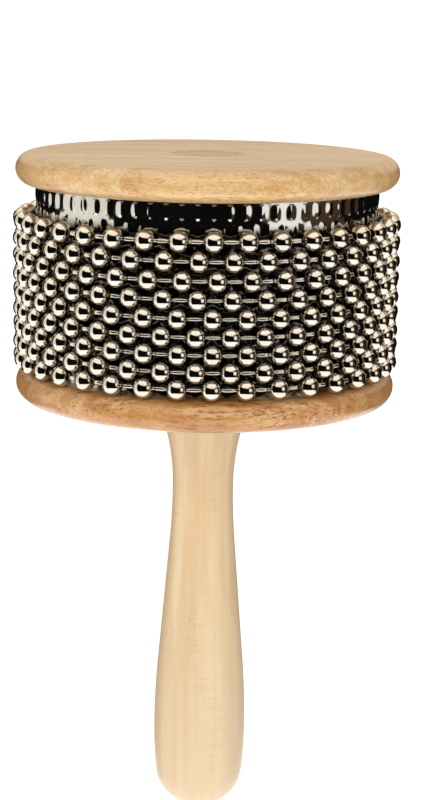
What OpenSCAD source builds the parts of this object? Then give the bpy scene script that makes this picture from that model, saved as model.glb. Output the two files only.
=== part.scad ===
// Cabasa: a textured steel drum clamped between two wooden discs on a turned handle,
// wrapped in nine loops of steel ball chain that turn round the drum.
// Millimetres. The origin is on the axis at the butt of the handle, and Z runs up to the top disc.

/* [Handle] */
// Length from the butt to the shoulder under the lower disc
handle_len = 151; // [142:1:165]
// Diameter at the widest place of the grip
grip_d = 32.6; // [31:0.2:35]
// Height of the widest place above the butt
grip_z = 28.6; // [26:0.2:34]
// Diameter at the neck
neck_d = 21.3; // [20:0.1:23]
// Height of the neck above the butt
neck_z = 118.6; // [112:0.2:124]
// Diameter of the shoulder that meets the lower disc
shoulder_d = 35; // [31:0.5:40]
// Radius of the nearly flat end of the butt
butt_end_r = 24; // [20:0.5:30]
// Radius that rounds the butt into the side
butt_round_r = 13.5; // [12:0.1:14.5]
// Radius of the side's curve below the widest place
grip_low_r = 150; // [120:5:200]
// Radius of the side's curve above the widest place
grip_high_r = 300; // [240:5:340]
// Radius of the hollow curve below the neck
neck_low_r = 235; // [180:5:260]

/* [Handle joint] */
// Diameter of the tenon on top of the handle
tenon_d = 20; // [16:0.5:24]
// Length of the tenon
tenon_len = 5; // [3:0.5:7]
// Outer diameter of the threaded insert in the handle
insert_d = 10; // [8.5:0.5:12]
// Length of the threaded insert
insert_len = 20; // [14:1:26]

/* [End discs] */
// Diameter of the two wooden discs
disc_d = 131; // [128:0.5:140]
// Thickness of each disc, which is rounded over its whole edge
disc_t = 10.5; // [9.5:0.5:13]
// Height of the spigot that fills each end of the drum
spigot_h = 7; // [5:0.5:9]

/* [Drum] */
// Free height of the drum between the two discs
drum_h = 63; // [60:0.5:70]
// Outer diameter of the rolled steel sheet, without its raised bars
drum_d = 116.8; // [112:0.2:118]
// Thickness of the steel sheet
sheet_t = 0.8; // [0.5:0.1:1.2]
// How far the raised bars stand out of the sheet
bar_h = 0.8; // [0.4:0.05:0.9]
// Diameter of the round that shapes a bar
bar_d = 2.3; // [2:0.1:2.5]
// Length of a bar
bar_len = 5.1; // [4:0.1:5.5]
// Bars in one row round the drum
bar_columns = 72; // [60:2:76]
// Rows of bars up the drum
bar_rows = 10; // [8:1:10]
// Width of the seam where the sheet's two edges meet, between two columns of bars
seam_w = 0.3; // [0.1:0.05:0.3]
// Width of the strip welded behind the seam
strip_w = 14; // [10:1:20]
// Thickness of the strip
strip_t = 0.8; // [0.6:0.1:1.2]

/* [Ball chain] */
// Diameter of a steel ball
ball_d = 7; // [6.6:0.05:7.2]
// Thickness of a ball's wall
ball_wall = 0.4; // [0.3:0.05:0.5]
// Balls in one loop
balls = 36; // [32:1:38]
// Diameter of a link's rod
link_d = 1.6; // [1.4:0.1:2]
// Diameter of the round heads that a ball holds
head_d = 2.5; // [2.4:0.05:2.6]
// Radial play between the raised bars and the balls
chain_slack = 0.3; // [0.3:0.025:0.7]

/* [Tie rod] */
// Diameter of the steel tie rod
rod_d = 6; // [5:0.5:7]
// Distance across the nut's flats
nut_flats = 10; // [9.5:0.5:12]
// Height of the nut
nut_h = 4; // [3:0.5:5]
// Diameter of the washer under the nut
washer_d = 18; // [15:0.5:20]
// Thickness of the washer
washer_t = 1.5; // [1:0.1:2]
// Diameter of the wooden plug over the nut
plug_d = 24; // [22:0.5:28]
// Thickness of the plug
plug_t = 3; // [2.5:0.5:4]

/* [Core] */
// Diameter of the wooden post inside the drum
core_d = 24; // [18:0.5:30]
// Depth of the socket that holds each end of the post
socket_h = 2.5; // [1.5:0.5:3]

/* [Hidden] */
// Play of a turned wooden fit, of a running steel fit, and round a part that only rests
wood_fit = 0.1;
steel_fit = 0.05;
rest_gap = 0.3;
// Play of a link in its ball's hole, and of its head in the ball
hole_play = 0.15;
head_play = 0.1;
// How much of the rod stands out of the nut, and how far the plug lies below the top face
rod_tip = 1;
plug_drop = 0.2;
// How far the rod ends above the bottom of its insert, and the air under the insert
rod_stop = 2;
bore_air = 1;
// Every cut runs this far past what it cuts
overrun = 1;

// The seam is at the back, and a step's bars stand this share of it past the seam, row by row in turn
seam_angle = 90;
low_seam_share = 0.25;
high_seam_share = 0.75;

// Each row of balls lies this share of a ball's diameter above the one below, closest at the bottom
nest_low_share = 0.793;
nest_high_share = 0.896;
// Where each loop's first ball stands, from the bottom row up, as a share of the step between balls
row_phase_shares = [0.235, -0.233, 0.245, -0.237, 0.228, -0.204, 0.356, -0.176, 0.238];
rows = len(row_phase_shares);

grip_r = grip_d / 2;
neck_r = neck_d / 2;
shoulder_r = shoulder_d / 2;
tenon_r = tenon_d / 2;
insert_r = insert_d / 2;
disc_r = disc_d / 2;
rim_r = disc_t / 2;
drum_r = drum_d / 2;
drum_inner_r = drum_r - sheet_t;
spigot_r = drum_inner_r - wood_fit;
bar_r = bar_d / 2;
ball_r = ball_d / 2;
link_r = link_d / 2;
head_r = head_d / 2;
rod_r = rod_d / 2;
washer_r = washer_d / 2;
plug_r = plug_d / 2;
core_r = core_d / 2;
rod_hole_r = rod_r + rest_gap;

drum_z = handle_len + disc_t;
drum_top_z = drum_z + drum_h;
top_z = drum_top_z + disc_t;
tenon_top_z = handle_len + tenon_len;
insert_z = tenon_top_z - insert_len;

// The plug lies over the nut's well, and the washer lies on the well's floor
plug_z = top_z - plug_drop - plug_t;
well_h = washer_t + nut_h + rod_tip;
well_z = plug_z - well_h;

// The loops lie round the bars with a little play, and the lowest one rests on the lower disc
ring_r = drum_r + bar_h + chain_slack + ball_r;
ball_step = 360 / balls;
chord = 2 * ring_r * sin(ball_step / 2);
head_offset = ball_r - ball_wall - head_r - head_play;
bar_pitch = drum_h / bar_rows;
bar_step = 360 / bar_columns;

// Points along an arc about centre c, from angle a0 up to the last step before a1
function arc(c, r, a0, a1, steps) =
    [for (i = [0 : steps - 1]) let (a = a0 + (a1 - a0) * i / steps) c + r * [cos(a), sin(a)]];

// The lower of the two places where two circles meet
function meet(a, ra, b, rb) =
    let (
        span = norm(b - a),
        along = (ra * ra - rb * rb + span * span) / (2 * span),
        off = sqrt(ra * ra - along * along),
        u = (b - a) / span,
        first = a + along * u + off * [-u[1], u[0]],
        second = a + along * u - off * [-u[1], u[0]]
    ) first[1] < second[1] ? first : second;

// Direction from one point to another
function angle_of(from, to) = atan2(to[1] - from[1], to[0] - from[0]);

// Step from a row of balls to the next, and the height of a row counted from 1 at the bottom
function nest_share(i) = nest_low_share + (nest_high_share - nest_low_share) * i / (rows - 2);
function row_z(row) =
    row == 1 ? drum_z + rest_gap + ball_r : row_z(row - 1) + ball_d * nest_share(row - 2);

// The first ball of a row, counted from the front of the instrument
function row_angle(row) = -90 + ball_step * row_phase_shares[row - 1];

// Half of the handle's outline: butt, grip, taper, neck and flared shoulder, all tangent arcs
function handle_side() =
    let (
        end_c = [0, butt_end_r],
        low_c = [grip_r - grip_low_r, grip_z],
        round_c = meet(low_c, grip_low_r - butt_round_r, end_c, butt_end_r - butt_round_r),
        high_c = [grip_r - grip_high_r, grip_z],
        neck_c = [neck_r + neck_low_r, neck_z],
        reach = grip_high_r + neck_low_r,
        across = reach - (grip_r - neck_r),
        up = neck_z - grip_z,
        taper = atan2(up, across) - acos(reach / norm([across, up])),
        rise = handle_len - neck_z,
        widening = shoulder_r - neck_r,
        flare_r = (rise * rise + widening * widening) / (2 * widening),
        flare_c = [neck_r + flare_r, neck_z]
    ) concat(
        arc(end_c, butt_end_r, -90, angle_of(end_c, round_c), 6),
        arc(round_c, butt_round_r, angle_of(end_c, round_c), angle_of(low_c, round_c), 16),
        arc(low_c, grip_low_r, angle_of(low_c, round_c), 0, 5),
        arc(high_c, grip_high_r, 0, taper, 8),
        arc(neck_c, neck_low_r, 180 + taper, 180, 8),
        arc(flare_c, flare_r, 180, 180 - asin(rise / flare_r), 14)
    );

module handle() {
    color("#E3C79B")
    difference() {
        union() {
            rotate_extrude($fn = 72)
            polygon(concat(handle_side(), [[shoulder_r, handle_len], [0, handle_len]]));
            translate([0, 0, handle_len - overrun])
            cylinder(r = tenon_r, h = tenon_len + overrun, $fn = 72);
        }
        translate([0, 0, insert_z - bore_air])
        cylinder(r = insert_r + wood_fit, h = insert_len + bore_air + overrun, $fn = 72);
    }
}

module tube(outer_r, inner_r, h) {
    difference() {
        cylinder(r = outer_r, h = h, $fn = 64);
        translate([0, 0, -overrun]) cylinder(r = inner_r, h = h + 2 * overrun, $fn = 64);
    }
}

module handle_insert() {
    color("#B8923A")
    translate([0, 0, insert_z])
    tube(insert_r, rod_r + steel_fit, insert_len);
}

module tie_rod() {
    rod_z = insert_z + rod_stop;
    color("#B9BDC1")
    translate([0, 0, rod_z])
    cylinder(r = rod_r, h = plug_z - rod_z, $fn = 64);
}

// Half of an end disc's section from its outer face inwards: disc, rounded edge and spigot
module disc_section() {
    square([disc_r - rim_r, disc_t]);
    translate([disc_r - rim_r, rim_r]) circle(r = rim_r, $fn = 64);
    translate([0, disc_t - overrun]) square([spigot_r, spigot_h + overrun]);
}

module disc_cut(r, from, to) {
    translate([-overrun, from]) square([r + overrun, to - from]);
}

module lower_disc() {
    inner = disc_t + spigot_h;
    color("#D7A765")
    translate([0, 0, handle_len])
    rotate_extrude($fn = 180)
    difference() {
        disc_section();
        disc_cut(rod_hole_r, -overrun, inner + overrun);
        disc_cut(tenon_r + wood_fit, -overrun, tenon_len + wood_fit);
        disc_cut(core_r + wood_fit, inner - socket_h, inner + overrun);
    }
}

module upper_disc() {
    inner = disc_t + spigot_h;
    color("#D7A765")
    translate([0, 0, top_z])
    mirror([0, 0, 1])
    rotate_extrude($fn = 180)
    difference() {
        disc_section();
        disc_cut(rod_hole_r, -overrun, inner + overrun);
        disc_cut(plug_r + wood_fit, -overrun, top_z - plug_z);
        disc_cut(washer_r + rest_gap, -overrun, top_z - well_z);
        disc_cut(core_r + wood_fit, inner - socket_h, inner + overrun);
    }
}

module core_post() {
    color("#E0C08C")
    translate([0, 0, drum_z + spigot_h - socket_h])
    tube(core_r, rod_hole_r, drum_h - 2 * (spigot_h - socket_h));
}

// The sheet's section with a row of bars on it, the first of them this share of a step past the seam
module barred_ring(seam_share) {
    difference() {
        union() {
            circle(r = drum_r, $fn = 180);
            for (i = [0 : bar_columns - 1])
                rotate(seam_angle + (i + seam_share) * bar_step)
                translate([drum_r + bar_h - bar_r, 0])
                circle(r = bar_r, $fn = 24);
        }
        circle(r = drum_inner_r, $fn = 180);
    }
}

module drum_shell() {
    color("#C9CBCC")
    translate([0, 0, drum_z])
    difference() {
        union() {
            difference() {
                cylinder(r = drum_r, h = drum_h, $fn = 180);
                translate([0, 0, -overrun])
                cylinder(r = drum_inner_r, h = drum_h + 2 * overrun, $fn = 180);
            }
            for (row = [0 : bar_rows - 1])
                translate([0, 0, bar_pitch * row + (bar_pitch - bar_len) / 2])
                linear_extrude(bar_len)
                barred_ring(row % 2 == 0 ? low_seam_share : high_seam_share);
        }
        rotate([0, 0, seam_angle])
        translate([drum_inner_r - overrun, -seam_w / 2, -overrun])
        cube([sheet_t + bar_h + 2 * overrun, seam_w, drum_h + 2 * overrun]);
    }
}

module seam_strip() {
    strip_r = drum_inner_r - steel_fit;
    spread = 2 * asin(strip_w / 2 / strip_r);
    color("#AEB2B5")
    translate([0, 0, drum_z + spigot_h + rest_gap])
    rotate([0, 0, seam_angle - spread / 2])
    rotate_extrude(angle = spread, $fn = 180)
    translate([strip_r - strip_t, 0])
    square([strip_t, drum_h - 2 * (spigot_h + rest_gap)]);
}

module washer() {
    color("#B9BDC1")
    translate([0, 0, well_z])
    tube(washer_r, rod_hole_r, washer_t);
}

module tie_nut() {
    color("#C4C8CC")
    translate([0, 0, well_z + washer_t])
    difference() {
        cylinder(r = nut_flats / sqrt(3), h = nut_h, $fn = 6);
        translate([0, 0, -overrun]) cylinder(r = rod_r + steel_fit, h = nut_h + 2 * overrun, $fn = 64);
    }
}

module top_plug() {
    color("#C9965A")
    translate([0, 0, plug_z])
    cylinder(r = plug_r, h = plug_t, $fn = 96);
}

// A hollow ball with a hole facing each of its two neighbours in the loop
module ball() {
    difference() {
        sphere(r = ball_r, $fn = 48);
        sphere(r = ball_r - ball_wall, $fn = 48);
        for (side = [-1, 1])
            rotate([0, 0, side * (90 + ball_step / 2)])
            rotate([0, 90, 0])
            cylinder(r = link_r + hole_play, h = ball_r + overrun, $fn = 32);
    }
}

module bead_loop(row) {
    color("#C8C4BA")
    for (i = [0 : balls - 1])
        rotate([0, 0, row_angle(row) + i * ball_step])
        translate([ring_r, 0, row_z(row)])
        ball();
}

// A short rod with a round head inside each of the two balls that it joins
module link() {
    head_reach = chord / 2 - head_offset;
    translate([0, -head_reach, 0])
    rotate([-90, 0, 0])
    cylinder(r = link_r, h = 2 * head_reach, $fn = 32);
    for (side = [-1, 1])
        translate([0, side * head_reach, 0]) sphere(r = head_r, $fn = 32);
}

module link_loop(row) {
    color("#B5B2AA")
    for (i = [0 : balls - 1])
        rotate([0, 0, row_angle(row) + (i + 1 / 2) * ball_step])
        translate([ring_r * cos(ball_step / 2), 0, row_z(row)])
        link();
}

handle();
handle_insert();
tie_rod();
lower_disc();
core_post();
drum_shell();
seam_strip();
upper_disc();
washer();
tie_nut();
top_plug();
for (row = [1 : rows]) {
    bead_loop(row);
    link_loop(row);
}
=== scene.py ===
"""Looks of the cabasa: turned maple, golden lacquered discs, an embossed steel drum and ball chain.

Metres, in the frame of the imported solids: the axis is Z and the butt of the handle is at the origin.
"""
import math

import bmesh
import bpy
from mathutils import Matrix, Vector


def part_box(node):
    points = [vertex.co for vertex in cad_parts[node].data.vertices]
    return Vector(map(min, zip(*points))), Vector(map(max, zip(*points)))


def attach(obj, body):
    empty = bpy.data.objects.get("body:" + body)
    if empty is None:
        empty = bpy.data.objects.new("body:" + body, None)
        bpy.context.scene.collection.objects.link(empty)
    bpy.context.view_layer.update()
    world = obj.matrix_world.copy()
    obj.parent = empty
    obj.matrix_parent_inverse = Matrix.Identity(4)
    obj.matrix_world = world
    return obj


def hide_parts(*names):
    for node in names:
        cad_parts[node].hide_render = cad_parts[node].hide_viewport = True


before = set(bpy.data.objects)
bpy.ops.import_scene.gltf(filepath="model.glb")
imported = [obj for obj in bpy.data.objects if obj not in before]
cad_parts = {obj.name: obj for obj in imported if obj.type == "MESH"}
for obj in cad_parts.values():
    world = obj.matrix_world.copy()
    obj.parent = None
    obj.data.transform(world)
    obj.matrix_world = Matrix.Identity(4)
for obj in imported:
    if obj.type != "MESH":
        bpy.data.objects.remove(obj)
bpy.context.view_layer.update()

MM = 0.001
FULL_TURN = math.tau
HALF_TURN = math.pi
QUARTER_TURN = math.pi / 2
# Points closer than this are one, and edges that turn more than this are shaded sharp
MERGE_DISTANCE = 1e-6
SHARP_ANGLE = math.radians(35)

# Handle, as its solid has it
HANDLE_LEN = 151 * MM
GRIP_R = 16.3 * MM
GRIP_Z = 28.6 * MM
NECK_R = 10.65 * MM
NECK_Z = 118.6 * MM
SHOULDER_R = 17.5 * MM
SHOULDER_ROUND_R = 0.6 * MM
BUTT_END_R = 24 * MM
BUTT_ROUND_R = 13.5 * MM
GRIP_LOW_R = 150 * MM
GRIP_HIGH_R = 300 * MM
NECK_LOW_R = 235 * MM
TENON_R = 10 * MM
TENON_LEN = 5 * MM
INSERT_BORE_R = 5.1 * MM
INSERT_BORE_Z = 135 * MM
HANDLE_SIDES = 128

# Discs, plug and core
DISC_R = 65.5 * MM
DISC_T = 10.5 * MM
SPIGOT_R = 57.5 * MM
SPIGOT_H = 7 * MM
WOOD_FIT = 0.1 * MM
ROD_HOLE_R = 3.3 * MM
PLUG_R = 12 * MM
PLUG_T = 3 * MM
PLUG_DROP = 0.2 * MM
PLUG_EDGE_R = 0.5 * MM
WELL_R = 9.3 * MM
WELL_H = 6.5 * MM
CORE_R = 12 * MM
SOCKET_H = 2.5 * MM
DISC_SIDES = 192
PLUG_SIDES = 96
DISC_Z = HANDLE_LEN
DRUM_Z = DISC_Z + DISC_T
DRUM_H = 63 * MM
TOP_Z = DRUM_Z + DRUM_H + DISC_T

# Embossed sheet of the drum
DRUM_R = 58.4 * MM
SHEET_T = 0.8 * MM
BAR_H = 0.66 * MM
BAR_COLUMNS = 72
BAR_ROWS = 10
# Shares of the bars' height round the drum, from the middle of one bar up to the next:
# halfway along the bars, near their ends, and on the flat sheet between the rows
BAR_SHARES = (1, 0.55, 0, 0, 0, 0.55)
BAR_END_SHARES = (0.5, 0.06, 0, 0, 0, 0.06)
FLAT_SHARES = (0, 0, 0, 0, 0, 0)
# Lines of the sheet's mesh across a row of bars: their places in the row, and the shares there
BAR_LINES = (
    (0.1, FLAT_SHARES),
    (0.125, BAR_END_SHARES),
    (0.5, BAR_SHARES),
    (0.875, BAR_END_SHARES),
    (0.9, FLAT_SHARES),
)
SEAM_W = 0.3 * MM
# The sheet's own edges turn more than this, and its bars less
CRISP_ANGLE = math.radians(80)

# Band of painted shade on the sheet where the chain covers it, and how softly that band ends
PAINTED_SHADE_LOW = DRUM_Z
PAINTED_SHADE_TOP = DRUM_Z + 53 * MM
PAINTED_SHADE_EDGE = 2.5 * MM

# Ball chain
BALL_R = 3.5 * MM
BALL_WALL = 0.4 * MM
BALL_HOLE_R = 1.1 * MM
BALLS = 36
LINK_R = 0.8 * MM
LINK_NECK_R = 0.55 * MM
LINK_NECK_Z = 1.6 * MM
HEAD_R = 1.25 * MM
HEAD_OFFSET = 1.75 * MM
# Points of a head's outline, out from the link's axis and along it, as shares of the head's radius
HEAD_SHARES = ((1.1, -1 / 3), (0.9, 0.8), (0, 1.1))
RING_R = 63 * MM
# Where each loop's first ball stands, from the bottom loop up, as a share of the step between balls
LOOP_PHASE_SHARES = (0.235, -0.233, 0.245, -0.237, 0.228, -0.204, 0.356, -0.176, 0.238)

# Camera that matches the photograph
CAMERA_PLACE = Vector((4.12, -685.05, 293.07)) * MM
CAMERA_PITCH = math.radians(11.87)
CAMERA_ROLL = math.radians(0.97)
CAMERA_LENS = 90
CAMERA_REACH = 50

# Floor of the studio, and the card close under it, in metres
FLOOR_R = 2.4
FLOOR_BEND_R = 1.6
FLOOR_SIDES = 96
FLOOR_GAP = 2 * MM
FLOOR_GLOW = 0.62
BOUNCE_GLOW = 0.66

# Light from all round, and the lamp in front
SKY_STRENGTH = 0.55
FRONT_LAMP_PLACE = (-0.15, -1.6, 0.7)
FRONT_LAMP_TARGET = (0, 0, 0.13)
FRONT_LAMP_SIZE = 1.2
FRONT_LAMP_WATTS = 14.5

# What the metal mirrors, in metres and in degrees round from the camera's side and upwards
TENT_Z = 0.19
TENT_R = 1.9
TENT_SIDES = 48
TENT_GLOW = 1.8
# Colours of the tent's cloth, at shares of its height
TENT_STOPS = (
    (0, "#FFFFFF"),
    (0.3, "#FFFFFF"),
    (0.38, "#DFDBD0"),
    (0.5, "#D9D2C3"),
    (0.74, "#D2CABA"),
    (0.86, "#F6F2EA"),
)
ROOM_R = 1.8
ROOM_LEFT, ROOM_TOP_LEFT, ROOM_RIGHT = -62, -74, 38
ROOM_LOW, ROOM_TOP, ROOM_TOP_RIGHT = -30, 38, 24
SIDE_START, SIDE_END = 38, 100
SIDE_LOW, SIDE_TOP = -30, 34
REAR_START, REAR_END = 100, 250
REAR_LOW, REAR_TOP = -25, 3
REAR_SIDE_LOW, REAR_SIDE_TOP = -40, 40
DIM_TOP = 50
DIM_GLOW = 0.35
SIDE_LAMP_AZIMUTH, SIDE_LAMP_ELEVATION = 54, 6
SIDE_LAMP_DISTANCE = 1.7
SIDE_LAMP_R = 0.52
SIDE_LAMP_GLOW = 1.5

# Sockets of the colour Mix node, which carries sockets of every type under the same names
MIX_FACTOR, MIX_A, MIX_B, MIX_RESULT = 0, 6, 7, 2

# A Wave Texture of scale 1 repeats at this distance
WAVE_SPACING = math.pi / 10
# Most of the noise lies in the wider span, and its patches change over the narrower one
WEAR_SPAN = (0.3, 0.7)
PATCH_SPAN = (0.35, 0.65)
# Scratches are this many times as long as they are wide
SCRATCH_STRETCH = 6


# Materials

def colour(text):
    """An sRGB hex colour as linear RGBA."""
    channels = [int(text[i:i + 2], 16) / 255 for i in (1, 3, 5)]
    linear = [c / 12.92 if c <= 0.04045 else ((c + 0.055) / 1.055) ** 2.4 for c in channels]
    return (*linear, 1)


def new_material(name):
    """A material with no nodes yet, and its node tree."""
    material = bpy.data.materials.new(name)
    material.use_nodes = True
    material.node_tree.nodes.clear()
    return material, material.node_tree


def add_node(tree, kind, settings=None, values=None, links=None):
    """Adds a node with its settings, the values of its sockets and the links that feed them."""
    node = tree.nodes.new(kind)
    for name, value in (settings or {}).items():
        setattr(node, name, value)
    for socket, value in (values or {}).items():
        node.inputs[socket].default_value = value
    for socket, source in (links or {}).items():
        tree.links.new(source, node.inputs[socket])
    return node


def place_along(tree, axis):
    """How far along an axis a point of the piece lies, in metres."""
    coordinates = add_node(tree, "ShaderNodeTexCoord")
    place = add_node(tree, "ShaderNodeSeparateXYZ", links={"Vector": coordinates.outputs["Object"]})
    return place.outputs[axis]


def grain(tree, width, length, axis, shift=(0, 0, 0), detail=2, roughness=0.5, distortion=0):
    """Noise drawn out into grains of that width and length, which lie along an axis of the piece."""
    coordinates = add_node(tree, "ShaderNodeTexCoord")
    scale = [1 / length if name == axis else 1 / width for name in "XYZ"]
    counted = add_node(tree, "ShaderNodeMapping", values={"Scale": scale, "Location": shift},
                       links={"Vector": coordinates.outputs["Object"]})
    values = {"Scale": 1, "Detail": detail, "Roughness": roughness, "Distortion": distortion}
    links = {"Vector": counted.outputs["Vector"]}
    return add_node(tree, "ShaderNodeTexNoise", values=values, links=links).outputs["Fac"]


def growth_rings(tree, spacing, pith, axis):
    """Slightly wavering growth rings at that spacing, round a pith line beside the piece."""
    coordinates = add_node(tree, "ShaderNodeTexCoord")
    moved = add_node(tree, "ShaderNodeMapping", values={"Location": pith},
                     links={"Vector": coordinates.outputs["Object"]})
    settings = {"wave_type": "RINGS", "rings_direction": axis, "wave_profile": "SAW"}
    values = {"Scale": WAVE_SPACING / spacing, "Distortion": 2.2, "Detail": 2, "Detail Scale": 0.18}
    rings = add_node(tree, "ShaderNodeTexWave", settings, values, {"Vector": moved.outputs["Vector"]})
    return rings.outputs["Fac"]


def lay_over(tree, body, text, pattern, span, amount=1.0):
    """Lays a colour over the body, from none at the start of the pattern's span to that amount at its end.

    The body is the hex colour of the ground, or the layers so far.
    """
    share = add_node(tree, "ShaderNodeMapRange",
                     values={"From Min": span[0], "From Max": span[1], "To Min": 0, "To Max": amount},
                     links={"Value": pattern})
    values = {MIX_B: colour(text)}
    links = {MIX_FACTOR: share.outputs["Result"]}
    if isinstance(body, str):
        values[MIX_A] = colour(body)
    else:
        links[MIX_A] = body
    return add_node(tree, "ShaderNodeMix", {"data_type": "RGBA"}, values, links).outputs[MIX_RESULT]


def where_both(tree, first, first_span, second, second_span, least=0):
    """Where two patterns are both strong, each over its own span; the second one counts from least to 1."""
    shares = []
    for pattern, span, start in ((first, first_span, 0), (second, second_span, least)):
        values = {"From Min": span[0], "From Max": span[1], "To Min": start}
        node = add_node(tree, "ShaderNodeMapRange", values=values, links={"Value": pattern})
        shares.append(node.outputs["Result"])
    links = dict(enumerate(shares))
    return add_node(tree, "ShaderNodeMath", {"operation": "MULTIPLY"}, links=links).outputs[0]


def finish_surface(tree, body, values, relief, depth, wear=None, smooth=0, dull=0):
    """The shader: body colour, relief of that depth, and roughness from smooth to dull with the wear."""
    bumps = {"Strength": 1, "Distance": depth}
    normal = add_node(tree, "ShaderNodeBump", values=bumps, links={"Height": relief}).outputs["Normal"]
    links = {"Base Color": body, "Normal": normal}
    if wear is not None:
        spread = {"From Min": WEAR_SPAN[0], "From Max": WEAR_SPAN[1], "To Min": smooth, "To Max": dull}
        gloss = add_node(tree, "ShaderNodeMapRange", values=spread, links={"Value": wear})
        links["Roughness"] = gloss.outputs["Result"]
    shader = add_node(tree, "ShaderNodeBsdfPrincipled", values=values, links=links)
    add_node(tree, "ShaderNodeOutputMaterial", links={"Surface": shader.outputs["BSDF"]})


def handle_maple():
    """Sugar maple turned and sanded smooth under clear lacquer: pale, softly streaked, faintly curly."""
    material, tree = new_material("turned_maple_clear_lacquer")
    streaks = grain(tree, 5.5 * MM, 120 * MM, "Z", detail=2, roughness=0.45, distortion=0.2)
    body = lay_over(tree, "#D8BC92", "#DDC5A0", streaks, (0.3, 0.5))
    body = lay_over(tree, body, "#E3CFAC", streaks, (0.5, 0.68))
    rings = growth_rings(tree, 3.4 * MM, (38 * MM, 21 * MM, 0), "Z")
    body = lay_over(tree, body, "#D3A872", rings, (0.55, 1), amount=0.18)
    fibres = grain(tree, 0.5 * MM, 22 * MM, "Z", detail=3, roughness=0.6)
    body = lay_over(tree, body, "#CDA26C", fibres, (0.42, 0.75), amount=0.16)
    # The curl shows as ripples across the grain, only in patches
    ripples = grain(tree, 6 * MM, 0.9 * MM, "Z", detail=1, roughness=0.4, distortion=0.4)
    patches = grain(tree, 12 * MM, 34 * MM, "Z", detail=1)
    curl = where_both(tree, ripples, (0.45, 0.7), patches, (0.48, 0.66))
    body = lay_over(tree, body, "#CFA877", curl, (0, 1), amount=0.3)
    flecks = grain(tree, 0.45 * MM, 3.2 * MM, "Z", detail=1)
    body = lay_over(tree, body, "#B98554", flecks, (0.7, 0.8), amount=0.45)
    # Painted sheen: the wood is painted paler towards the butt, for the light on its lower part
    body = lay_over(tree, body, "#DDCBB1", place_along(tree, "Z"), (75 * MM, 5 * MM), amount=0.5)
    values = {"IOR": 1.5, "Specular IOR Level": 0.3, "Coat Weight": 0.12, "Coat Roughness": 0.25}
    finish_surface(tree, body, values, fibres, 0.03 * MM, wear=fibres, smooth=0.36, dull=0.46)
    return material


def lacquered_wood(name, tones, fleck, end_grain, rings_amount, flecks_amount, shift):
    """Hardwood cut from a plank, with its grain along X, under golden lacquer; shift picks the plank."""
    material, tree = new_material(name)
    pale, middle, deep = tones
    streaks = grain(tree, 4 * MM, 70 * MM, "X", shift, detail=3, distortion=0.4)
    body = lay_over(tree, deep, middle, streaks, (0.32, 0.5))
    body = lay_over(tree, body, pale, streaks, (0.5, 0.66))
    rings = growth_rings(tree, 2.6 * MM, (0, 9 * MM, -120 * MM), "X")
    body = lay_over(tree, body, deep, rings, (0.35, 1), rings_amount)
    fibres = grain(tree, 0.45 * MM, 16 * MM, "X", shift, detail=3, roughness=0.65)
    body = lay_over(tree, body, deep, fibres, (0.45, 0.75), amount=0.4)
    # Open pores show as fine dashes, and longer reddish flecks come in patches
    pores = grain(tree, 0.45 * MM, 1.8 * MM, "X", shift, detail=1)
    body = lay_over(tree, body, fleck, pores, (0.54, 0.68), amount=0.55)
    marks = grain(tree, 0.9 * MM, 7 * MM, "X", shift, detail=2, roughness=0.6, distortion=0.3)
    patches = grain(tree, 9 * MM, 22 * MM, "X", shift, detail=1)
    flecks = where_both(tree, marks, (0.53, 0.62), patches, (0.36, 0.55))
    body = lay_over(tree, body, fleck, flecks, (0, 1), flecks_amount)
    # The rim's two ends show end grain, which drinks more stain and is darker and redder
    reach = add_node(tree, "ShaderNodeMath", {"operation": "ABSOLUTE"}, links={0: place_along(tree, "X")})
    blotches = grain(tree, 2.2 * MM, 8 * MM, "X", shift, detail=3, roughness=0.6)
    ends = where_both(tree, reach.outputs[0], (45 * MM, 64 * MM), blotches, (0.35, 0.65), least=0.2)
    body = lay_over(tree, body, end_grain, ends, (0, 1), amount=0.9)
    values = {"IOR": 1.5, "Coat Weight": 0.4, "Coat Roughness": 0.2}
    finish_surface(tree, body, values, fibres, 0.02 * MM, wear=fibres, smooth=0.32, dull=0.45)
    return material


def upper_disc_hardwood():
    """Rubberwood stained honey gold and lacquered: an even, straight-grained blank."""
    return lacquered_wood("stained_rubberwood_even", ("#E6C998", "#DDBA83", "#CB9E62"), fleck="#A36C40",
                          end_grain="#DFB074", rings_amount=0.22, flecks_amount=0.35, shift=(3, 1, 2))


def lower_disc_hardwood():
    """The same wood with reddish flecks and darker ends, its tones also darkened as painted shade under the
    chain.
    """
    # Painted shade: these tones are darker than the upper disc's, for the shade that the chain casts on
    # this disc
    return lacquered_wood("stained_rubberwood_flecked_painted_shade", ("#DBB27E", "#CB9A5E", "#B27A42"), fleck="#8C4A1C",
                          end_grain="#C48D5A", rings_amount=0.25, flecks_amount=0.75, shift=(2, 5, 1))


def plug_hardwood():
    """The same wood again, from a darker piece."""
    return lacquered_wood("stained_rubberwood_plug", ("#D0A26A", "#BD8B53", "#A06F3D"), fleck="#8A5230",
                          end_grain="#A5663C", rings_amount=0.3, flecks_amount=0.5, shift=(5, 2, 7))


def core_beech():
    """Beech dowel left raw: even, pinkish pale, with short dark rays."""
    material, tree = new_material("raw_beech_dowel")
    streaks = grain(tree, 2 * MM, 40 * MM, "Z", detail=3, roughness=0.6)
    body = lay_over(tree, "#C79C6E", "#DDB98C", streaks, (0.3, 0.7))
    rays = grain(tree, 0.3 * MM, 2.5 * MM, "Z", detail=1)
    body = lay_over(tree, body, "#9A6A41", rays, (0.62, 0.72), amount=0.7)
    finish_surface(tree, body, {"IOR": 1.5, "Roughness": 0.6}, streaks, 0.05 * MM)
    return material


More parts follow.
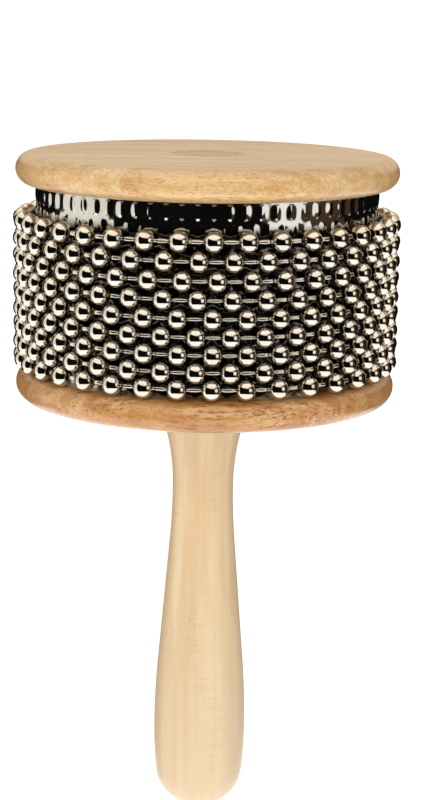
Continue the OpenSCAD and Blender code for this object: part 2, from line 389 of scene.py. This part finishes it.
def metal(name, pale, deep, smooth, dull, patch, scratch, scratch_depth):
    """Bare or plated metal: patches of handling on a clean surface, over fine tool or tumbling marks."""
    material, tree = new_material(name)
    patches = grain(tree, patch, patch, "Z", detail=3, roughness=0.6)
    marks = grain(tree, scratch, scratch * SCRATCH_STRETCH, "Z", detail=2, roughness=0.6)
    body = lay_over(tree, deep, pale, patches, PATCH_SPAN)
    finish_surface(tree, body, {"Metallic": 1}, marks, scratch_depth, patches, smooth, dull)
    return material


def bead_nickel():
    """Steel balls barrel-polished and nickel-plated: bright warm mirrors with the faintest haze."""
    return metal("barrel_polished_nickel_plate", pale="#CCC6BB", deep="#C1BAAE", smooth=0.04, dull=0.08,
                 patch=6 * MM, scratch=0.5 * MM, scratch_depth=0.002 * MM)


def link_nickel():
    """Drawn wire links, nickel-plated but not polished: a softer shine than the balls."""
    return metal("drawn_wire_nickel_plate", pale="#C8C2B7", deep="#BAB3A7", smooth=0.06, dull=0.11,
                 patch=4 * MM, scratch=0.3 * MM, scratch_depth=0.004 * MM)


def drum_stainless():
    """Stainless sheet with a bright rolled finish, greyed with painted shade in the band under the chain.
    """
    material, tree = new_material("bright_rolled_stainless_painted_shade")
    patches = grain(tree, 14 * MM, 14 * MM, "Z", detail=3, roughness=0.6)
    body = lay_over(tree, "#BCBDBC", "#C8C8C6", patches, PATCH_SPAN)
    # Painted shade: the sheet is darkened where the chain lies, standing in for the shade between the balls
    height = place_along(tree, "Z")
    painted_shade = where_both(tree, height, (PAINTED_SHADE_LOW, PAINTED_SHADE_LOW + PAINTED_SHADE_EDGE),
                        height, (PAINTED_SHADE_TOP + PAINTED_SHADE_EDGE, PAINTED_SHADE_TOP))
    body = lay_over(tree, body, "#5E5B56", painted_shade, (0, 1))
    rolling = grain(tree, 0.25 * MM, 1.5 * MM, "Z", detail=2, roughness=0.6)
    finish_surface(tree, body, {"Metallic": 1}, rolling, 0.003 * MM, wear=patches, smooth=0.06, dull=0.12)
    return material


def insert_brass():
    """Turned brass: yellow with fine turning marks."""
    return metal("turned_brass", pale="#D9B25F", deep="#C89A45", smooth=0.22, dull=0.34,
                 patch=3 * MM, scratch=0.15 * MM, scratch_depth=0.01 * MM)


def fastener_zinc():
    """Zinc-plated steel: cool grey with a slight bloom."""
    return metal("zinc_plated_steel", pale="#C3C7CA", deep="#ABB0B4", smooth=0.25, dull=0.4,
                 patch=3 * MM, scratch=0.2 * MM, scratch_depth=0.01 * MM)


# Mesh tools

def arc(centre, radius, start, end, steps):
    """Points of (radius, height) along an arc, both ends included; angles are in radians."""
    angles = [start + (end - start) * i / steps for i in range(steps + 1)]
    return [(centre[0] + radius * math.cos(a), centre[1] + radius * math.sin(a)) for a in angles]


def direction(start, end):
    """The angle from one point to another."""
    return math.atan2(end[1] - start[1], end[0] - start[0])


def lathe(outline, steps, closed=False, turn=FULL_TURN):
    """Spins an outline of (radius, height) points round Z, as a bmesh with welded poles."""
    bm = bmesh.new()
    verts = [bm.verts.new((radius, 0, height)) for radius, height in outline]
    edges = [bm.edges.new(pair) for pair in zip(verts, verts[1:])]
    if closed:
        edges.append(bm.edges.new((verts[-1], verts[0])))
    bmesh.ops.spin(bm, geom=verts + edges, cent=(0, 0, 0), axis=(0, 0, 1), angle=turn,
                   steps=steps, use_merge=turn == FULL_TURN)
    bmesh.ops.remove_doubles(bm, verts=bm.verts, dist=MERGE_DISTANCE)
    bmesh.ops.recalc_face_normals(bm, faces=bm.faces)
    return bm


def new_piece(name, bm, material, body, slot, *nodes, sharp_angle=SHARP_ANGLE):
    """The bmesh as a smooth-shaded piece on a body, in place of the solids that it stands for."""
    mesh = bpy.data.meshes.new(name)
    bm.to_mesh(mesh)
    bm.free()
    mesh.shade_smooth()
    mesh.set_sharp_from_angle(angle=sharp_angle)
    mesh.materials.append(material)
    piece = bpy.data.objects.new(name, mesh)
    bpy.context.scene.collection.objects.link(piece)
    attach(piece, body)
    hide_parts(*nodes)
    return piece


def subdivide(piece, levels):
    """Subdivision Surface with the same levels in the view and in the render."""
    modifier = piece.modifiers.new("subdivide", "SUBSURF")
    modifier.levels = levels
    modifier.render_levels = levels


def spline_share(step):
    """How much a subdivided ring of points, that step apart, draws in towards its centre."""
    return (2 + math.cos(step)) / 3


# Handle

def circles_meet(a, a_radius, b, b_radius):
    """The lower of the two places where two circles meet."""
    span = math.dist(a, b)
    along = (a_radius ** 2 - b_radius ** 2 + span ** 2) / (2 * span)
    off = math.sqrt(a_radius ** 2 - along ** 2)
    u = ((b[0] - a[0]) / span, (b[1] - a[1]) / span)
    places = [
        (a[0] + along * u[0] - side * off * u[1], a[1] + along * u[1] + side * off * u[0])
        for side in (-1, 1)
    ]
    return min(places, key=lambda place: place[1])


def handle_outline():
    """Butt, grip, taper, neck and flared shoulder as tangent arcs, then the tenon and the insert's bore."""
    end = (0, BUTT_END_R)
    low = (GRIP_R - GRIP_LOW_R, GRIP_Z)
    corner = circles_meet(low, GRIP_LOW_R - BUTT_ROUND_R, end, BUTT_END_R - BUTT_ROUND_R)
    high = (GRIP_R - GRIP_HIGH_R, GRIP_Z)
    neck = (NECK_R + NECK_LOW_R, NECK_Z)
    reach = GRIP_HIGH_R + NECK_LOW_R
    across = reach - (GRIP_R - NECK_R)
    rise = NECK_Z - GRIP_Z
    taper = math.atan2(rise, across) - math.acos(reach / math.hypot(across, rise))
    flare_h = HANDLE_LEN - NECK_Z
    widening = SHOULDER_R - NECK_R
    flare_r = (flare_h ** 2 + widening ** 2) / (2 * widening)
    flare = (NECK_R + flare_r, NECK_Z)
    return (
        arc(end, BUTT_END_R, -QUARTER_TURN, direction(end, corner), steps=8)
        + arc(corner, BUTT_ROUND_R, direction(end, corner), direction(low, corner), steps=20)
        + arc(low, GRIP_LOW_R, direction(low, corner), 0, steps=8)
        + arc(high, GRIP_HIGH_R, 0, taper, steps=10)
        + arc(neck, NECK_LOW_R, HALF_TURN + taper, HALF_TURN, steps=10)
        + arc(flare, flare_r, HALF_TURN, HALF_TURN - math.asin(flare_h / flare_r), steps=18)[:-1]
        + [(SHOULDER_R - SHOULDER_ROUND_R / 4, HANDLE_LEN - SHOULDER_ROUND_R / 4),
           (SHOULDER_R - SHOULDER_ROUND_R, HANDLE_LEN), (TENON_R, HANDLE_LEN),
           (TENON_R, HANDLE_LEN + TENON_LEN), (INSERT_BORE_R, HANDLE_LEN + TENON_LEN),
           (INSERT_BORE_R, INSERT_BORE_Z), (0, INSERT_BORE_Z)]
    )


def make_handle():
    """The turned handle, from its butt to the tenon in the lower disc."""
    bm = lathe(handle_outline(), HANDLE_SIDES)
    new_piece("turned_handle", bm, handle_maple(), "root", "handle_wood", "handle")


# Discs and plug

def disc_outline(hollow):
    """A disc from its outer face inwards: hollow, rounded rim, spigot and the socket of the core."""
    rim_r = DISC_T / 2
    inner = DISC_T + SPIGOT_H
    return (
        hollow
        + arc((DISC_R - rim_r, rim_r), rim_r, -QUARTER_TURN, QUARTER_TURN, steps=24)
        + [(SPIGOT_R, DISC_T), (SPIGOT_R, inner), (CORE_R + WOOD_FIT, inner),
           (CORE_R + WOOD_FIT, inner - SOCKET_H), (ROD_HOLE_R, inner - SOCKET_H)]
    )


def make_lower_disc():
    """The disc on the handle's shoulder, with a recess for the tenon."""
    recess = [(ROD_HOLE_R, TENON_LEN + WOOD_FIT), (TENON_R + WOOD_FIT, TENON_LEN + WOOD_FIT),
              (TENON_R + WOOD_FIT, 0)]
    bm = lathe(disc_outline(recess), DISC_SIDES, closed=True)
    bmesh.ops.translate(bm, verts=bm.verts, vec=(0, 0, DISC_Z))
    new_piece("lower_end_disc", bm, lower_disc_hardwood(), "root", "disc_wood", "lower_disc")


def make_upper_disc():
    """The disc at the far end, with the nut's well and the plug's seat in its face."""
    seat_r = PLUG_R + WOOD_FIT
    seat_z = PLUG_T + PLUG_DROP
    well = [(ROD_HOLE_R, seat_z + WELL_H), (WELL_R, seat_z + WELL_H), (WELL_R, seat_z),
            (seat_r, seat_z), (seat_r, PLUG_EDGE_R), (seat_r + PLUG_EDGE_R, 0)]
    bm = lathe(disc_outline(well), DISC_SIDES, closed=True)
    bmesh.ops.scale(bm, verts=bm.verts, vec=(1, 1, -1))
    bmesh.ops.translate(bm, verts=bm.verts, vec=(0, 0, TOP_Z))
    bmesh.ops.recalc_face_normals(bm, faces=bm.faces)
    new_piece("upper_end_disc", bm, upper_disc_hardwood(), "root", "disc_wood", "upper_disc")


def make_plug():
    """The wooden cover over the nut, with an eased edge."""
    top = TOP_Z - PLUG_DROP
    edge = arc((PLUG_R - PLUG_EDGE_R, top - PLUG_EDGE_R), PLUG_EDGE_R, 0, QUARTER_TURN, steps=5)
    outline = [(0, top - PLUG_T), (PLUG_R, top - PLUG_T)] + edge + [(0, top)]
    new_piece("nut_plug", lathe(outline, PLUG_SIDES), plug_hardwood(), "root", "plug_wood", "top_plug")


# Drum

def make_drum():
    """The embossed sheet: rows of bars pressed outwards, and the sheet rolled with its seam at the back."""
    columns = len(BAR_SHARES) * BAR_COLUMNS
    lines = [(0, FLAT_SHARES, 0)]
    for row in range(BAR_ROWS):
        lines += [(row + place, shares, row) for place, shares in BAR_LINES]
    lines.append((BAR_ROWS, FLAT_SHARES, 0))
    inner_r = DRUM_R - SHEET_T
    outline = [(DRUM_R, place) for place, shares, row in lines] + [(inner_r, BAR_ROWS), (inner_r, 0)]
    gap = SEAM_W / DRUM_R
    bm = lathe(outline, columns, closed=True, turn=FULL_TURN - gap)
    outer = [vert for vert in bm.verts if vert.co.xy.length > DRUM_R - SHEET_T / 2]
    places = [place for place, shares, row in lines]
    for vert in outer:
        angle = math.atan2(vert.co.y, vert.co.x) % FULL_TURN
        column = round(angle / (FULL_TURN - gap) * columns)
        place, shares, row = lines[min(range(len(lines)), key=lambda i: abs(places[i] - vert.co.z))]
        offset = row % 2 * len(shares) // 2
        vert.co.xy *= 1 + BAR_H * shares[(column + offset) % len(shares)] / DRUM_R
    bmesh.ops.holes_fill(bm, edges=[edge for edge in bm.edges if edge.is_boundary], sides=0)
    # The sheet's own edges stay crisp
    crease = bm.edges.layers.float.new("crease_edge")
    for edge in bm.edges:
        if edge.calc_face_angle(0) > CRISP_ANGLE:
            edge[crease] = 1
    seam_at_back = Matrix.Rotation(QUARTER_TURN + gap / 2, 3, "Z")
    bmesh.ops.scale(bm, verts=bm.verts, vec=(1, 1, DRUM_H / BAR_ROWS))
    bmesh.ops.rotate(bm, verts=bm.verts, cent=(0, 0, 0), matrix=seam_at_back)
    bmesh.ops.translate(bm, verts=bm.verts, vec=(0, 0, DRUM_Z))
    bmesh.ops.recalc_face_normals(bm, faces=bm.faces)
    drum = new_piece("embossed_drum", bm, drum_stainless(), "root", "drum_steel", "drum_shell")
    subdivide(drum, levels=1)


# Ball chain

def ball_shape():
    """A hollow ball with a hole at each pole, which subdivision rounds out to its true radius."""
    around, along, inside = 8, 6, 2
    hole = math.asin(BALL_HOLE_R / BALL_R)
    inner_r = BALL_R - BALL_WALL
    outer = arc((0, 0), BALL_R, hole - QUARTER_TURN, QUARTER_TURN - hole, along)
    inner = arc((0, 0), inner_r, QUARTER_TURN - hole, hole - QUARTER_TURN, inside)
    draw_along = spline_share((HALF_TURN - 2 * hole) / along)
    draw_around = spline_share(FULL_TURN / around)
    rounded = [(r / draw_along, z / draw_along) for r, z in outer[1:-1]]
    outline = [outer[0]] + rounded + [outer[-1]] + inner
    bm = lathe([(r / draw_around, z) for r, z in outline], around, closed=True)
    # The edge of each hole stays crisp
    crease = bm.edges.layers.float.new("crease_edge")
    for edge in bm.edges:
        if all(abs(abs(vert.co.z) - outer[-1][1]) < MERGE_DISTANCE for vert in edge.verts):
            edge[crease] = 1
    return bm


def link_shape():
    """A rod with a neck and a round head at each end, which subdivision rounds out to its true radius."""
    around = 8
    head_z = RING_R * math.sin(HALF_TURN / BALLS) - HEAD_OFFSET
    rod = [(LINK_R, 0), (LINK_R, LINK_NECK_Z - LINK_R / 4)]
    neck = [(LINK_NECK_R, LINK_NECK_Z), (LINK_NECK_R, head_z - HEAD_R)]
    head = [(HEAD_R * out, head_z + HEAD_R * along) for out, along in HEAD_SHARES]
    half = rod + neck + head
    outline = [(r, -z) for r, z in reversed(half[1:])] + half
    draw_around = spline_share(FULL_TURN / around)
    return lathe([(r / draw_around, z) for r, z in outline], around)


def repeat_round(shape, radius, height, first, count):
    """Copies of a shape round the drum, each with its own axis along the loop."""
    bm = bmesh.new()
    mesh = bpy.data.meshes.new("one")
    shape.to_mesh(mesh)
    lay_along = Matrix.Rotation(-QUARTER_TURN, 4, "X")
    for i in range(count):
        turn = Matrix.Rotation(first + FULL_TURN * i / count, 4, "Z")
        start = len(bm.verts)
        bm.from_mesh(mesh)
        bm.verts.ensure_lookup_table()
        place = turn @ Matrix.Translation((radius, 0, height)) @ lay_along
        bmesh.ops.transform(bm, matrix=place, verts=bm.verts[start:])
    bpy.data.meshes.remove(mesh)
    return bm


def make_chain():
    """Nine loops of balls and links, each at its solids' height and turn."""
    ball_metal = bead_nickel()
    link_metal = link_nickel()
    ball = ball_shape()
    link = link_shape()
    step = FULL_TURN / BALLS
    for loop, phase_share in enumerate(LOOP_PHASE_SHARES, start=1):
        body = f"loop_{loop}"
        low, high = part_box(f"bead_loop_{loop}")
        height = (low[2] + high[2]) / 2
        first = phase_share * step - QUARTER_TURN
        balls = repeat_round(ball, RING_R, height, first, BALLS)
        piece = new_piece(f"steel_balls_{loop}", balls, ball_metal, body, "bead_steel", f"bead_loop_{loop}",
                          sharp_angle=HALF_TURN)
        subdivide(piece, levels=2)
        links = repeat_round(link, RING_R * math.cos(step / 2), height, first + step / 2, BALLS)
        piece = new_piece(f"wire_links_{loop}", links, link_metal, body, "link_steel", f"link_loop_{loop}",
                          sharp_angle=HALF_TURN)
        subdivide(piece, levels=1)
    ball.free()
    link.free()


def dress_hidden_solids():
    """Finishes of the solids inside, which keep their own meshes."""
    zinc = fastener_zinc()
    finishes = {
        "handle_insert": insert_brass(), "core_post": core_beech(), "seam_strip": drum_stainless(),
        "tie_rod": zinc, "washer": zinc, "tie_nut": zinc,
    }
    for node, material in finishes.items():
        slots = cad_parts[node].data.materials
        slots.clear()
        slots.append(material)


# Stage, light and camera

def stage_object(name, bm, material):
    """A floor or card that isn't part of the instrument."""
    mesh = bpy.data.meshes.new(name)
    bm.to_mesh(mesh)
    bm.free()
    mesh.shade_smooth()
    mesh.materials.append(material)
    thing = bpy.data.objects.new(name, mesh)
    bpy.context.scene.collection.objects.link(thing)
    return thing


def plain_matte(name, text, glow_strength=0.0):
    """A plain matte studio surface, which may glow a little."""
    material, tree = new_material(name)
    values = {"Base Color": colour(text), "Roughness": 0.9, "Specular IOR Level": 0.1,
              "Emission Color": colour("#FFFFFF"), "Emission Strength": glow_strength}
    shader = add_node(tree, "ShaderNodeBsdfPrincipled", values=values)
    add_node(tree, "ShaderNodeOutputMaterial", links={"Surface": shader.outputs["BSDF"]})
    return material


def make_floor():
    """A pale floor that curves up into a wall all round, and a card under it that throws light back up."""
    bend = arc((FLOOR_R, FLOOR_BEND_R), FLOOR_BEND_R, -QUARTER_TURN, 0, steps=16)
    bm = lathe([(0, 0), (FLOOR_R, 0)] + bend[1:], FLOOR_SIDES)
    bmesh.ops.reverse_faces(bm, faces=bm.faces)
    floor = stage_object("pale_floor", bm, plain_matte("pale_paper", "#FAF9F7", FLOOR_GLOW))
    floor.visible_glossy = False
    floor.visible_diffuse = False
    bm = lathe([(0, -FLOOR_GAP), (FLOOR_R, -FLOOR_GAP)], FLOOR_SIDES)
    bounce = stage_object("bounce_card", bm, plain_matte("bounce_paper", "#F6F0E6", BOUNCE_GLOW))
    bounce.visible_camera = False
    bounce.visible_glossy = False


def glow(name, strength, stops, low, high):
    """Light given off by a card, through stops of (share, hex colour) from its low to its high edge."""
    material, tree = new_material(name)
    share = add_node(tree, "ShaderNodeMapRange", values={"From Min": low, "From Max": high},
                     links={"Value": place_along(tree, "Z")})
    shade = add_node(tree, "ShaderNodeValToRGB", links={"Fac": share.outputs["Result"]})
    elements = shade.color_ramp.elements
    while len(elements) < len(stops):
        elements.new(1)
    for element, (place, text) in zip(elements, stops):
        element.position = place
        element.color = colour(text)
    light = add_node(tree, "ShaderNodeEmission", values={"Strength": strength},
                     links={"Color": shade.outputs["Color"]})
    add_node(tree, "ShaderNodeOutputMaterial", links={"Surface": light.outputs["Emission"]})
    material.cycles.emission_sampling = "NONE"
    return material


def only_in_reflections(card):
    """A card that the metal and the lacquer mirror, and that lights and hides nothing else."""
    card.visible_camera = False
    card.visible_diffuse = False
    card.visible_shadow = False
    card.visible_transmission = False


def bearing(azimuth, elevation, distance):
    """The place at that distance from the drum, in degrees round from the camera's side and upwards."""
    a, e = math.radians(azimuth), math.radians(elevation)
    flat = distance * math.cos(e)
    return Vector((flat * math.sin(a), -flat * math.cos(a), TENT_Z + distance * math.sin(e)))


def room_patch(name, text, edges, glow_strength=0.0):
    """A patch of the dim room on a sphere round the drum; edges turns shares across it into degrees."""
    bm = bmesh.new()
    bmesh.ops.create_grid(bm, x_segments=24, y_segments=12, size=0.5)
    for vert in bm.verts:
        azimuth, elevation = edges(vert.co.x + 0.5, vert.co.y + 0.5)
        vert.co = bearing(azimuth, elevation, ROOM_R)
    only_in_reflections(stage_object(name, bm, plain_matte(name + "_velvet", text, glow_strength)))


def blend_values(start, end, share):
    """The value that lies that share of the way from a start to an end."""
    return start + (end - start) * share


def make_light_tent():
    """What the polished metal mirrors: a white tent, and a dim room before, beside and behind it."""
    bm = lathe(arc((0, TENT_Z), TENT_R, -QUARTER_TURN, QUARTER_TURN, steps=24), TENT_SIDES)
    bmesh.ops.reverse_faces(bm, faces=bm.faces)
    cloth = glow("lit_tent_cloth", TENT_GLOW, TENT_STOPS, TENT_Z - TENT_R, TENT_Z + TENT_R)
    only_in_reflections(stage_object("white_tent", bm, cloth))

    def front_edges(right, rise):
        left_edge = blend_values(ROOM_LEFT, ROOM_TOP_LEFT, rise)
        top_edge = blend_values(ROOM_TOP, ROOM_TOP_RIGHT, right)
        return blend_values(left_edge, ROOM_RIGHT, right), blend_values(ROOM_LOW, top_edge, rise)

    def rear_edges(right, rise):
        sideness = (2 * right - 1) ** 2
        low_edge = blend_values(REAR_LOW, REAR_SIDE_LOW, sideness)
        top_edge = blend_values(REAR_TOP, REAR_SIDE_TOP, sideness)
        return blend_values(REAR_START, REAR_END, right), blend_values(low_edge, top_edge, rise)

    def rear_top_edges(right, rise):
        azimuth, low_edge = rear_edges(right, 1)
        return azimuth, blend_values(low_edge, DIM_TOP, rise)

    def side_edges(right, rise):
        return blend_values(SIDE_START, SIDE_END, right), blend_values(SIDE_LOW, SIDE_TOP, rise)

    room_patch("dark_front", "#0B0A09", front_edges)
    room_patch("brown_side", "#54402B", side_edges)
    room_patch("dim_rear_top", "#C9B28E", rear_top_edges, DIM_GLOW)
    room_patch("dark_rear", "#0B0A09", rear_edges)


def make_side_lamp():
    """A round soft lamp to the right, which every ball mirrors as a bright spot beside the dark room."""
    bm = bmesh.new()
    bmesh.ops.create_circle(bm, cap_ends=True, segments=32, radius=SIDE_LAMP_R)
    place = bearing(SIDE_LAMP_AZIMUTH, SIDE_LAMP_ELEVATION, SIDE_LAMP_DISTANCE)
    facing = (Vector((0, 0, TENT_Z)) - place).to_track_quat("Z", "Y").to_matrix().to_4x4()
    bmesh.ops.transform(bm, matrix=Matrix.Translation(place) @ facing, verts=bm.verts)
    cloth = glow("lit_lamp_cloth", SIDE_LAMP_GLOW, ((0, "#FBF7EF"), (1, "#FBF7EF")), 0, 1)
    only_in_reflections(stage_object("side_lamp", bm, cloth))


def make_front_lamp():
    """A broad soft square lamp in front, a little to the left, that doesn't show in reflections."""
    data = bpy.data.lights.new("front", "AREA")
    data.shape = "SQUARE"
    data.size = FRONT_LAMP_SIZE
    data.energy = FRONT_LAMP_WATTS
    data.color = colour("#FFFDFA")[:3]
    lamp = bpy.data.objects.new("front", data)
    lamp.location = FRONT_LAMP_PLACE
    facing = Vector(FRONT_LAMP_TARGET) - Vector(FRONT_LAMP_PLACE)
    lamp.rotation_euler = facing.to_track_quat("-Z", "Y").to_euler()
    lamp.visible_glossy = False
    bpy.context.scene.collection.objects.link(lamp)


def light_all_round():
    """Even pale light from all round, and colours shown as they are."""
    world = bpy.data.worlds.new("studio")
    world.use_nodes = True
    world.node_tree.nodes.clear()
    values = {"Color": colour("#FCFBFA"), "Strength": SKY_STRENGTH}
    sky = add_node(world.node_tree, "ShaderNodeBackground", values=values)
    add_node(world.node_tree, "ShaderNodeOutputWorld", links={"Surface": sky.outputs["Background"]})
    bpy.context.scene.world = world
    bpy.context.scene.view_settings.view_transform = "Standard"


def place_camera():
    """The camera that was fitted to the rows of balls in the photograph."""
    data = bpy.data.cameras.new("photo_camera")
    data.lens = CAMERA_LENS
    data.clip_end = CAMERA_REACH
    camera = bpy.data.objects.new("photo_camera", data)
    pitch = Matrix.Rotation(QUARTER_TURN - CAMERA_PITCH, 4, "X")
    roll = Matrix.Rotation(CAMERA_ROLL, 4, "Z")
    camera.matrix_world = Matrix.Translation(CAMERA_PLACE) @ pitch @ roll
    bpy.context.scene.collection.objects.link(camera)
    bpy.context.scene.camera = camera


make_handle()
make_lower_disc()
make_upper_disc()
make_plug()
make_drum()
make_chain()
dress_hidden_solids()
make_floor()
make_light_tent()
make_side_lamp()
make_front_lamp()
light_all_round()
place_camera()
